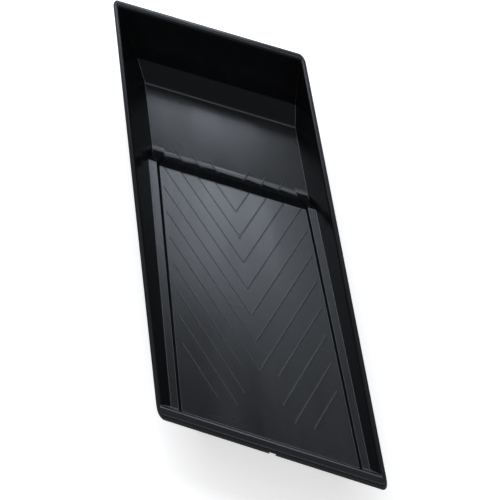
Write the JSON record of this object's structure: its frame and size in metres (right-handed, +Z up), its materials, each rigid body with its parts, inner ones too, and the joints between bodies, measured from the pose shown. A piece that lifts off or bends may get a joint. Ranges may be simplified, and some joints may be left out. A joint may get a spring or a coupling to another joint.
{
  "type": "paint roller tray",
  "caption": "Rectangular moulded paint tray with a deep well, a ribbed rolling ramp, a turned-down rim and fold-out legs under the shallow end.",
  "frame": {"origin": "on the floor under the middle of the rim", "axes": "+Z up, +Y towards the paint well, +X to the right as seen from the shallow end"},
  "size_m": [0.3, 0.42, 0.08],
  "materials": {
    "tray_plastic": "semi-gloss moulded polypropylene, near black",
    "rod_steel": "drawn steel wire, zinc plated",
    "cap_plastic": "matt moulded plastic, black",
    "leg_plastic": "semi-gloss moulded polypropylene, near black",
    "foot_rubber": "matt rubber, dark grey"
  },
  "bodies": {
    "tray": {"tray_body": "tray_plastic", "hinge_rod": "rod_steel", "rod_cap_left": "cap_plastic", "rod_cap_right": "cap_plastic"},
    "legs": {"leg_frame": "leg_plastic", "foot_left": "foot_rubber", "foot_right": "foot_rubber"}
  },
  "joints": [
    {"name": "leg_fold", "type": "hinge", "parent": "tray", "child": "legs", "pos_m": [0, -0.1675, 0.028], "axis": [1, 0, 0], "range_deg": [0, 84]}
  ]
}
